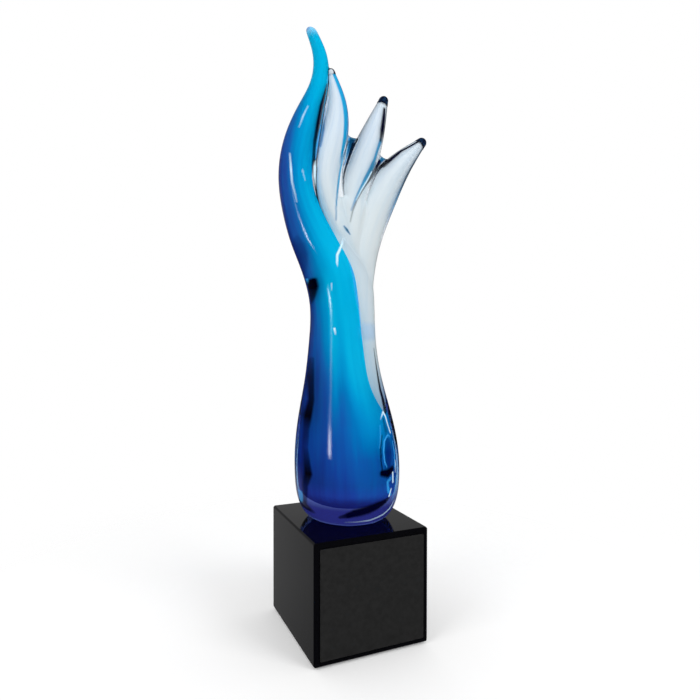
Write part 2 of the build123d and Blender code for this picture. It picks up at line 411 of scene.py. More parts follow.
# %% White core
# height as a share of the rise, then side step, step to the back, half width and half depth as
# shares of the bulb's radius
palm_shares = np.array([
    (0.216, 0.450, -0.217, 0.029, 0.035),
    (0.245, 0.365, -0.217, 0.145, 0.130),
    (0.287, 0.295, -0.188, 0.203, 0.188),
    (0.329, 0.283, -0.145, 0.209, 0.203),
    (0.371, 0.272, -0.116, 0.214, 0.203),
    (0.413, 0.232, -0.087, 0.232, 0.203),
    (0.455, 0.180, -0.072, 0.261, 0.203),
    (0.497, 0.122, -0.058, 0.301, 0.203),
    (0.535, 0.041, -0.058, 0.354, 0.203),
    (0.574, -0.040, -0.058, 0.400, 0.203),
    (0.612, -0.015, -0.055, 0.405, 0.203),
    (0.640, 0.020, -0.052, 0.390, 0.195),
])
# rings left off each finger's root, and the length of the taper there in half widths
root_trim = {"upper": 0, "middle": 0, "lower": 24}
root_taper = {"upper": 0.6, "middle": 0.6, "lower": 2.4}
tail_round, palm_round, palm_rings = 0.001, 0.011, 160


def opal_rows(finger, last_share=1.0):
    """Rings of the white inside a finger."""
    return finger_rows({**finger, **finger.get("core", {})}, last_share, core=True)


def opal_limbs():
    """The three white fingers and the palm and tail that they spring from."""
    limbs = []
    for name, finger in fingers.items():
        nose_radius = (finger["bead_radius"] - bead_overhang) * finger_shares[-1][3]
        cut = max(0, finger["bead_cover"] + nose_radius - finger["bead_radius"])
        last_share = 1 - cut / spine_length(finger)
        rows = [column[root_trim[name]:] for column in opal_rows(finger, last_share)]
        limbs.append(limb("opal_" + name, *rows, rows[2][0] * root_taper[name], nose_radius))
    palm = palm_shares * bulb_radius
    palm[:, 0] = palm_shares[:, 0] * stem_rise
    rows = smooth_curve(palm, np.linspace(0, 1, palm_rings))
    centres = [(x, y, foot_level + z) for z, x, y, width, depth in rows]
    sides = [(1.0, 0.0, 0.0)] * len(rows)
    limbs.append(limb(
        "opal_palm", centres, sides, rows[:, 3], rows[:, 4], rows[:, 0], tail_round, palm_round))
    return limbs


opal_parts = opal_limbs()
print("white limbs:", len(opal_parts))

# %% [markdown]
# ## The webs
# Between two limbs the glass doesn't end in a sharp corner. Surface tension holds a thin web there,
# with a hollow, rounded edge. It could be a curved sheet, but a flat plate with an arc cut in its
# top is enough, because the casing's skin runs over it and rounds it.

# %% Webs
webs = {
    "flame": (-0.0137, 0.2720, -0.0220),
    "upper": (0.0050, 0.2470, -0.0035),
    "lower": (0.0297, 0.2365, 0.0070),
}
web_drop = 0.058
web_half_thickness = 0.0028
crotch_half_span = 0.0075
heel_half_span = 0.0035
crotch_hollow = 0.004
arc_steps = 12


def web(name, crotch_reach, crotch_rise, heel_reach):
    """A flat web of clear glass in the angle between two limbs."""
    level = foot_level + crotch_rise
    radius = (crotch_half_span ** 2 + crotch_hollow ** 2) / (2 * crotch_hollow)
    outline = []
    for k in range(arc_steps + 1):
        across = (2 * k / arc_steps - 1) * crotch_half_span
        outline.append((crotch_reach + across, level + radius - math.sqrt(radius ** 2 - across ** 2)))
    outline.append((heel_reach + heel_half_span, level - web_drop))
    outline.append((heel_reach - heel_half_span, level - web_drop))
    count = len(outline)
    verts = [(x, y, z) for y in (-web_half_thickness, web_half_thickness) for x, z in outline]
    faces = [tuple(range(count)), tuple(reversed(range(count, 2 * count)))]
    for k in range(count):
        j = (k + 1) % count
        faces.append((k, j, count + j, count + k))
    piece = mesh_piece(name + "_web", verts, faces)
    face_outward(piece)
    return piece


web_pieces = [web(name, *sizes) for name, sizes in webs.items()]
print("webs:", len(web_pieces))

# %% [markdown]
# ## Ribbons of painted shade
# The angles between the limbs look dark, because the glass there bends in the dark round it. A
# thin dark ribbon of cobalt inside the glass in each angle is painted shade that stands in for it.
# Painted on a core it would lie too deep, so each ribbon is a flattened limb along its own line.

# %% Ribbons of painted shade
# each ribbon is painted shade in one angle between the limbs
shade_ribbon_rings = 60
# side step, height above the foot, half width and half depth in millimetres
shade_ribbon_lines = {
    "flame_side": [
        (-13.0, 284.0, 0.5, 0.5), (-15.0, 274.0, 1.4, 0.5), (-19.0, 262.0, 2.2, 0.6),
        (-22.4, 248.0, 1.8, 0.6), (-24.6, 236.0, 1.2, 0.6), (-25.4, 222.0, 0.9, 0.5),
        (-24.0, 208.0, 0.8, 0.4), (-21.0, 196.0, 0.4, 0.3)],
    "upper_side": [
        (5.0, 243.0, 1.6, 0.5), (2.8, 236.0, 1.5, 0.5), (-0.2, 226.0, 1.1, 0.5),
        (-2.6, 214.0, 0.9, 0.5), (-4.2, 202.0, 0.7, 0.4), (-4.8, 192.0, 0.4, 0.3)],
    "lower_side": [
        (29.8, 232.0, 2.6, 0.5), (26.4, 226.0, 2.6, 0.5), (20.6, 218.0, 1.7, 0.5),
        (14.6, 208.0, 1.1, 0.5), (9.0, 195.0, 0.8, 0.4), (5.0, 183.0, 0.6, 0.4),
        (2.6, 176.0, 0.4, 0.3)],
}
shade_ribbons = {}
for name, line in shade_ribbon_lines.items():
    rows = smooth_curve(np.array(line) * mm, np.linspace(0, 1, shade_ribbon_rings))
    centres = level_rows(rows)[0]
    shade_ribbons[name] = limb(
        "painted_shade_ribbon_" + name, centres, square_sides(np.gradient(np.array(centres), axis=0)),
        rows[:, 2], rows[:, 3], np.linspace(0, 1, shade_ribbon_rings), rows[0, 2], rows[-1, 2])
print("trails:", len(shade_ribbons))

# %% [markdown]
# ## The casing
# Hot glass flows together, so the limbs can't just pass through each other: their meeting lines
# have to be soft hollows. A Boolean union would leave a sharp crease at each. A voxel remesh makes
# one skin round all the limbs instead, and smoothing then lets that skin flow like the real one.
# The white core is fused in the same way.

# %% Casing
casing_voxel = 0.0006
opal_voxel = 0.0005
casing_flow, opal_flow = 0.0011, 0.0007


def fused(name, pieces, voxel, reach):
    """One smooth closed skin round the pieces, which are then removed."""
    work = bmesh.new()
    for piece in pieces:
        work.from_mesh(piece.data)
    mesh = bpy.data.meshes.new(name)
    work.to_mesh(mesh)
    work.free()
    whole = bpy.data.objects.new(name, mesh)
    bpy.context.scene.collection.objects.link(whole)
    remesh = whole.modifiers.new("skin", "REMESH")
    remesh.mode = "VOXEL"
    remesh.voxel_size = voxel
    remesh.use_smooth_shade = True
    soften = whole.modifiers.new("flow", "SMOOTH")
    soften.factor = 0.5
    soften.iterations = max(4, int(2 * (reach / voxel) ** 2 + 4))
    graph = bpy.context.evaluated_depsgraph_get()
    skin = bpy.data.meshes.new_from_object(whole.evaluated_get(graph))
    whole.modifiers.clear()
    whole.data = skin
    skin.name = name
    skin.shade_smooth()
    for piece in pieces:
        bpy.data.objects.remove(piece)
    print(name, "vertices:", len(skin.vertices))
    return whole


opal_core = fused("opal_glass_core", opal_parts, opal_voxel, opal_flow)
casing = fused("glass_casing", [stem_glass, *finger_glass, *web_pieces], casing_voxel, casing_flow)

# %% [markdown]
# ## The dark tips
# Each finger ends in a bead of near-black cobalt, melted on and drawn down like a cap. A ball on
# the end would look stuck on, so the bead is a limb too, from a flat seat across the finger to a
# dome over the end. It stands a hair proud of the casing, and thins out to nothing at its lower
# edge, so that no step shows.

# %% Dark tips
cap_proud = 0.00012
least_seat = 0.0002
# how far below its seat a cap begins, and how soon it is fully proud, as shares of the finger
thin_share, full_share = 0.012, 0.006
caps = {}
for name, finger in fingers.items():
    seat = 1 - max(least_seat, finger["bead_cover"] - finger["bead_radius"]) / spine_length(finger)
    centres, sides, widths, depths, samples = finger_rows(finger)
    start = int(np.argmax(samples >= seat - thin_share))
    samples = samples[start:]
    proud = cap_proud * np.clip((samples - seat + thin_share) / full_share, 0, 1) ** 0.5
    caps[name] = limb(
        "dark_tip_" + name, centres[start:], sides[start:], widths[start:] + proud,
        depths[start:] + proud, samples, 0.0, widths[-1] + cap_proud)
print("dark tips:", len(caps))

# %% [markdown]
# ## Materials
# A material here is a few plain values on a Principled shader, and small node groups that make
# what varies. Adding nodes by script is wordy, so the helpers below take a node's settings and
# inputs by name, and link whatever comes from another node.

# %% Material helpers
def put(tree, socket, value):
    """Gives an input a plain value, or links another node's output to it."""
    if isinstance(value, bpy.types.NodeSocket):
        tree.links.new(value, socket)
    elif socket.type == "RGBA":
        socket.default_value = (*value, 1)
    else:
        socket.default_value = value


def feed(tree, made, *values, **named):
    """Sets up a node: its settings and inputs by name, then its first inputs in order."""
    for key, value in named.items():
        if hasattr(made, key):
            setattr(made, key, value)
        else:
            put(tree, made.inputs[key.replace("_", " ")], value)
    for socket, value in zip(made.inputs, values):
        put(tree, socket, value)
    return made


def node(tree, kind, *values, **named):
    """A new node, set up as feed does it."""
    return feed(tree, tree.nodes.new(kind), *values, **named)


def new_material(name):
    """A material with its Principled shader, ready for more nodes."""
    material = bpy.data.materials.new(name)
    material.use_nodes = True
    tree = material.node_tree
    return material, tree, tree.nodes["Principled BSDF"]


def new_group(name, inputs, output):
    """An empty node group with named numbers going in and one coming out."""
    group = bpy.data.node_groups.new(name, "ShaderNodeTree")
    for socket in inputs:
        group.interface.new_socket(socket, in_out="INPUT", socket_type="NodeSocketFloat")
    group.interface.new_socket(output, in_out="OUTPUT", socket_type="NodeSocketFloat")
    given = group.nodes.new("NodeGroupInput").outputs
    print("node group:", name)
    return group, given, group.nodes.new("NodeGroupOutput").inputs[output]


def wear(piece, material):
    """Gives a piece its one material."""
    piece.data.materials.clear()
    piece.data.materials.append(material)


print("materials so far:", [material.name for material in bpy.data.materials])

# %% [markdown]
# ## A fire-polished skin
# Glass that was finished in the flame is smooth but never quite even, and its highlights wobble a
# little. Modelled waves would need far more vertices, so a soft noise, stretched along the piece,
# bends the light instead. The casing, the dark beads and the cube wear it, so it is one group.

# %% Skin waves group
skin_waves, given, height_out = new_group("skin_waves", ["Size"], "Height")
place = node(skin_waves, "ShaderNodeTexCoord").outputs["Object"]
stretch = node(skin_waves, "ShaderNodeMapping", Vector=place, Scale=(1.0, 1.0, 0.45))
noise = node(
    skin_waves, "ShaderNodeTexNoise", Vector=stretch.outputs["Vector"], Scale=given["Size"], Detail=1.0)
skin_waves.links.new(noise.outputs["Fac"], height_out)


def add_bump(tree, shader, height, strength, distance):
    """Lets a height bend the light on a shader."""
    bump = node(tree, "ShaderNodeBump", Strength=strength, Distance=distance, Height=height)
    feed(tree, shader, Normal=bump.outputs["Normal"])


def add_waves(tree, shader, size, strength, distance):
    """Feeds the skin waves to a shader's normal."""
    waves = node(tree, "ShaderNodeGroup", node_tree=skin_waves, Size=size)
    add_bump(tree, shader, waves.outputs["Height"], strength, distance)


# %% [markdown]
# ## Soft clouds
# Handling haze on crystal, the nap of felt, the grain of paint and the flow of glue are all gentle
# changes of tone or gloss at very different sizes. Each finish could have noise nodes of its own,
# but one group, with its noise mapped to the range that the finish wants, serves them all.

# %% Soft clouds group
noise_low, noise_high = 0.3, 0.7
soft_clouds, given, value_out = new_group("soft_clouds", ["Scale", "Detail", "Low", "High"], "Value")
place = node(soft_clouds, "ShaderNodeTexCoord").outputs["Object"]
noise = node(
    soft_clouds, "ShaderNodeTexNoise", Vector=place, Scale=given["Scale"], Detail=given["Detail"])
level = node(
    soft_clouds, "ShaderNodeMapRange", Value=noise.outputs["Fac"], From_Min=noise_low,
    From_Max=noise_high, To_Min=given["Low"], To_Max=given["High"])
soft_clouds.links.new(level.outputs["Result"], value_out)


def cloud(tree, scale, low=0.0, high=1.0, detail=2.0):
    """A soft noise over a piece, mapped to low..high, in clouds per metre."""
    made = node(
        tree, "ShaderNodeGroup", node_tree=soft_clouds, Scale=scale, Detail=detail, Low=low, High=high)
    return made.outputs["Value"]


# %% [markdown]
# ## Colour from numbers
# The colours of this piece change along and round its limbs, not at random. An image could hold
# them, but it would need unwrapping and would blur close up. So numbers that the vertices
# remember drive colour ramps, and a painted number can fade one colour into another.

# %% Colour helpers
def attribute(tree, name):
    """One of the numbers that a piece's vertices remember."""
    return node(tree, "ShaderNodeAttribute", attribute_name=name).outputs["Fac"]


def ramp(tree, value, stops):
    """A colour ramp from (place, colour or grey) stops, over places from 0 to 1."""
    made = node(tree, "ShaderNodeValToRGB", value)
    elements = made.color_ramp.elements
    elements[0].position, elements[1].position = stops[0][0], stops[-1][0]
    for place, colour in stops[1:-1]:
        elements.new(place)
    for element, (place, colour) in zip(elements, stops):
        element.color = (*colour, 1) if isinstance(colour, tuple) else (colour, colour, colour, 1)
    return made.outputs["Color"]


def scaled(tree, value, low, high):
    """Maps low..high to 0..1."""
    made = node(tree, "ShaderNodeMapRange", Value=value, From_Min=low, From_Max=high)
    return made.outputs["Result"]


def height_between(tree, low, high):
    """0 to 1 from one height above the foot to another."""
    place = node(tree, "ShaderNodeTexCoord").outputs["Object"]
    parts = node(tree, "ShaderNodeSeparateXYZ", Vector=place)
    return scaled(tree, parts.outputs["Z"], foot_level + low, foot_level + high)


def blend_colours(tree, factor, first, second):
    """Mixes two colours, each a socket or plain values."""
    made = node(tree, "ShaderNodeMix", factor, data_type="RGBA")
    colours = [socket for socket in made.inputs if socket.type == "RGBA"]
    for socket, value in zip(colours, (first, second)):
        put(tree, socket, value)
    return [socket for socket in made.outputs if socket.type == "RGBA"][0]


print("foot level in mm:", round(foot_level / mm, 2))

# %% [markdown]
# ## Streaks drawn out in the colour
# Coloured glass is never mixed quite evenly, and pulling the gather draws each cloud of colour out
# into a streak. Stretched noise in plain space would run straight on where a limb bends. Noise
# over the turn and the place along a limb, with the turn counted finer, follows every bend.

# %% Drawn streaks group
drawn_streaks, given, streaks_out = new_group(
    "drawn_streaks", ["Around", "Along", "Fineness"], "Streaks")
spread = node(
    drawn_streaks, "ShaderNodeMath", given["Around"], given["Fineness"], operation="MULTIPLY")
place = node(drawn_streaks, "ShaderNodeCombineXYZ", spread.outputs[0], given["Along"])
noise = node(
    drawn_streaks, "ShaderNodeTexNoise", Vector=place.outputs["Vector"], Scale=1.0, Detail=3.0)
drawn_streaks.links.new(noise.outputs["Fac"], streaks_out)


def streaks(tree, along_scale, fineness):
    """The drawn streaks for a piece that remembers its places."""
    longer = node(
        tree, "ShaderNodeMath", attribute(tree, "along"), along_scale, operation="MULTIPLY")
    made = node(
        tree, "ShaderNodeGroup", node_tree=drawn_streaks, Around=attribute(tree, "around"),
        Along=longer.outputs[0], Fineness=fineness)
    return made.outputs["Streaks"]


# %% [markdown]
# ## The palette
# A core is seen through thick clear glass, which takes a little light on the way in and again on
# the way out. So its paint has to be lighter than the colour that should show. Each paint could be
# found by trial, but one helper works it out for every colour of both cores.

# %% Palette of the glass colours
def shade(code):
    """A colour from its hexadecimal code, in Blender's linear light."""
    values = [int(code[i:i + 2], 16) / 255 for i in (0, 2, 4)]
    return tuple(v / 12.92 if v <= 0.04045 else ((v + 0.055) / 1.055) ** 2.4 for v in values)


brightest_paint = 0.98


def cased(code):
    """The paint of a core that shows as this colour once light has passed the casing twice."""
    return tuple(min(brightest_paint, v / (0.50 + 0.5 * v)) for v in shade(code))


tones = [
    (0.00, "0c0f26"), (0.12, "23286a"), (0.28, "1d4093"), (0.42, "145aa8"),
    (0.55, "0276ba"), (0.70, "0192d4"), (0.85, "01aae5"), (1.00, "08bcf2"),
]
print("tones:", len(tones))

# %% [markdown]
# ## The blue's colour
# The blue sweeps from deep cobalt on the left and low down to bright turquoise on the right and
# in the flame. It could be several cores of different colours, but the real change is soft. So
# every vertex gets one number, its tone, from a table of heights, and the palette turns it into
# colour. Narrow swaths then paint light and shade into it: a light band up the neck is a painted
# reflection of the window, and the dark bands are painted shade where the glass bends in the dark.

# %% Numbers on the vertices
def store(piece, name, values):
    """Keeps one number per vertex on a piece."""
    layer = piece.data.attributes.new(name, "FLOAT", "POINT")
    layer.data.foreach_set("value", np.asarray(values, np.float32))


def kept(piece, name):
    """The numbers that a piece keeps under a name."""
    values = np.zeros(len(piece.data.vertices), np.float32)
    piece.data.attributes[name].data.foreach_get("value", values)
    return values


def soft_step(values, low, high):
    """0 below low, 1 above high, and smooth between. It falls if low is above high."""
    share = np.clip((values - low) / (high - low), 0, 1)
    return share * share * (3 - 2 * share)


print("places kept on the blue core:", len(kept(blue_core, "along")))

# %% Blue core paint
# height, tone on the left, tone on the right, where the change is, how soft it is
blue_sweep = np.array([
    (0.000, 0.16, 0.26, 0.05, 0.30),
    (0.017, 0.20, 0.38, 0.05, 0.30),
    (0.041, 0.30, 0.44, 0.02, 0.30),
    (0.064, 0.35, 0.84, 0.12, 0.50),
    (0.089, 0.34, 0.98, 0.02, 0.50),
    (0.115, 0.38, 0.90, -0.12, 0.52),
    (0.141, 0.42, 0.88, -0.18, 0.52),
    (0.167, 0.36, 0.90, -0.08, 0.55),
    (0.192, 0.32, 0.84, 0.00, 0.58),
    (0.221, 0.28, 0.76, -0.02, 0.55),
    (0.240, 0.34, 0.74, -0.08, 0.50),
    (0.258, 0.46, 0.76, -0.14, 0.50),
    (0.280, 0.84, 0.86, -0.20, 0.40),
    (0.310, 0.92, 0.92, 0.00, 0.40),
])
# painted light (1) or painted shade (-1), half width, then (height, turn, strength) along each band
blue_light_and_shade_bands = [
    (1, 0.045, [(0.050, -0.10, 0.0), (0.075, -0.08, 0.20), (0.095, -0.06, 0.22), (0.120, -0.07, 0.20),
                (0.145, -0.06, 0.16), (0.160, -0.03, 0.0)]),
    (-1, 0.05, [(0.060, 0.03, 0.0), (0.080, 0.03, 0.10), (0.120, 0.06, 0.08), (0.150, 0.04, 0.0)]),
    (-1, 0.05, [(0.015, -0.46, 0.0), (0.030, -0.46, 0.12), (0.060, -0.44, 0.10), (0.085, -0.46, 0.08),
                (0.108, -0.47, 0.0)]),
]
side_turn = 0.75


def swath(around, along, line, half_width):
    """A soft band along a line of (along, around, strength) points."""
    places, turns, strengths = np.array(line).T
    middle = np.interp(along, places, turns)
    strength = np.interp(along, places, strengths, left=0, right=0)
    return strength * np.exp(-((around - middle) / half_width) ** 2)


def paint_blue(piece):
    """Tones of the blue core: a sweep from cobalt to cyan, and painted bands of light and shade."""
    around, along = kept(piece, "around"), kept(piece, "along")
    left, right, change, soft = (
        np.interp(along, blue_sweep[:, 0], blue_sweep[:, k]) for k in range(1, 5))
    folded = np.sign(around) * (2 * side_turn - np.abs(around))
    across = np.where(np.abs(around) < side_turn, around, folded)
    tone = left + (right - left) * soft_step(across, change - soft / 2, change + soft / 2)
    # the light band paints the window's reflection, the dark ones paint shade
    for sign, half_width, line in blue_light_and_shade_bands:
        tone += sign * swath(around, along, line, half_width)
    store(piece, "tone", np.clip(tone, 0, 1))
    print("mean tone of the blue:", round(float(tone.mean()), 2))


paint_blue(blue_core)

# %% Blue core material
streak_swing = 0.22


def blue_material():
    """The palette over the tones, a little streaked, with a painted glow in the round floor."""
    material, tree, shader = new_material("blue_glass_colour")
    drawn = streaks(tree, along_scale=16.0, fineness=14.0)
    sway = node(
        tree, "ShaderNodeMath", drawn, streak_swing, -streak_swing / 2, operation="MULTIPLY_ADD")
    tone = node(
        tree, "ShaderNodeMath", attribute(tree, "tone"), sway.outputs[0], operation="ADD",
        use_clamp=True)
    # a painted glow in the round floor of the core
    painted_floor_glow = ramp(tree, height_between(tree, 0.008, 0.026), [
        (0.0, (0.024, 0.027, 0.22)), (0.5, (0.012, 0.014, 0.11)), (1.0, 0.0)])
    feed(
        tree, shader, Roughness=0.6, Specular_IOR_Level=0.0, Emission_Color=painted_floor_glow,
        Base_Color=ramp(tree, tone.outputs[0], [(place, cased(code)) for place, code in tones]),
        Emission_Strength=1.0)
    return material


wear(blue_core, blue_material())
print("blue material:", blue_core.data.materials[0].name)

# %% [markdown]
# ## Which limb a point belongs to
# Fusing gives a skin new vertices that remember nothing. They could be painted by plain height,
# but then colour would cut across the slanting fingers. So each vertex looks up the nearest ring of
# each limb, and takes its place along, its turn round and its distance from the limb that is nearest.

# %% Places on the limbs
block_size = 20000


def limb_places(points, centres, sides, widths, depths):
    """For each point, its share along a limb, its turn round it, and its distance from the
    limb's axis, where 1 is the limb's own surface."""
    centres, sides = np.array(centres, float), np.array([tuple(side) for side in sides])
    tangents = np.gradient(centres, axis=0)
    tangents /= np.linalg.norm(tangents, axis=1)[:, None]
    fronts = -np.cross(sides, tangents)
    nearest = np.empty(len(points), int)
    for start in range(0, len(points), block_size):
        block = points[start:start + block_size]
        gaps = ((block[:, None, :] - centres[None]) ** 2).sum(axis=2)
        nearest[start:start + block_size] = gaps.argmin(axis=1)
    step = points - centres[nearest]
    u = (step * sides[nearest]).sum(axis=1) / widths[nearest]
    v = (step * fronts[nearest]).sum(axis=1) / depths[nearest]
    w = (step * tangents[nearest]).sum(axis=1) / depths[nearest]
    around = (np.degrees(np.arctan2(v, u)) - math.degrees(facing) + 180) % 360 / 180 - 1
    return nearest / (len(centres) - 1), around, np.sqrt(u ** 2 + v ** 2 + w ** 2)


def vertex_places(piece):
    """Where a piece's vertices are, one row each."""
    points = np.zeros(len(piece.data.vertices) * 3)
    piece.data.vertices.foreach_get("co", points)
    return points.reshape(-1, 3)


print("casing from", np.round(vertex_places(casing).min(axis=0), 3), "to",
      np.round(vertex_places(casing).max(axis=0), 3))

# %% [markdown]
# ## The white's colour
# Opal glass is milky: light goes in a little way and comes back from every side. Real scattering
# is slow inside another refracting glass, so a dull white with a faint painted glow of its own
# stands in for it. It is warmer in the palm and bluer in the fingers. A turquoise band down the
# right of the upper finger is painted light: the flame's colour that the finger's rim bends in.

# %% Opal core paint
# places along the upper finger, and the turn at which the painted turquoise begins there
flame_light_places, flame_light_edges = [0.50, 0.65, 0.80, 1.00], [0.50, 0.38, 0.24, 0.10]
edge_softness = 0.03


def paint_opal(piece):
    """Gives the white core its places on the nearest finger, and a band of painted flame light."""
    points = vertex_places(piece)
    found = []
    for order, finger in enumerate(fingers.values()):
        along, around, distance = limb_places(points, *opal_rows(finger)[:4])
        found.append((along + 2 * order, around, distance))
    found = np.array(found)
    nearest = found[:, 2].argmin(axis=0)
    along, around, distance = found[nearest, :, np.arange(len(points))].T
    # painted light: the flame's turquoise that the upper finger's right rim bends in
    edge = np.interp(along, flame_light_places, flame_light_edges)
    band = soft_step(around, edge - edge_softness, edge + edge_softness) * soft_step(around, 0.86, 0.76)
    band *= soft_step(along, 0.48, 0.58) * (along <= 1.0)
    for name, values in (("along", along), ("around", around), ("band", band)):
        store(piece, name, values)
    print("share of the white in the turquoise band:", round(float(band.mean()), 3))


paint_opal(opal_core)

# %% Opal core material
def opal_material():
    """Milky white in two depths, streaked, warmer low, bluer high, with painted glow and flame light.
    """
    material, tree, shader = new_material("opal_glass_colour")
    rise = height_between(tree, 0.15, 0.25)
    even, deeper = (
        ramp(tree, rise, [(0.0, cased(low)), (0.5, cased(middle)), (1.0, cased(high))])
        for low, middle, high in (("d9dad4", "dadeda", "dae5ee"), ("d0d5d2", "d1d9d9", "c4d4e3")))
    drawn = scaled(tree, streaks(tree, along_scale=1.6, fineness=7.0), 0.54, 0.34)
    white = blend_colours(tree, drawn, even, deeper)
    # the band paints in the flame's light that the rim bends in
    colour = blend_colours(tree, attribute(tree, "band"), white, cased("1c90cc"))
    # the faint emission is a painted glow standing in for light scattered in the white
    feed(
        tree, shader, Base_Color=colour, Emission_Color=colour, Emission_Strength=0.14,
        Roughness=0.7, Specular_IOR_Level=0.0)
    return material


wear(opal_core, opal_material())
print("white material:", opal_core.data.materials[0].name)
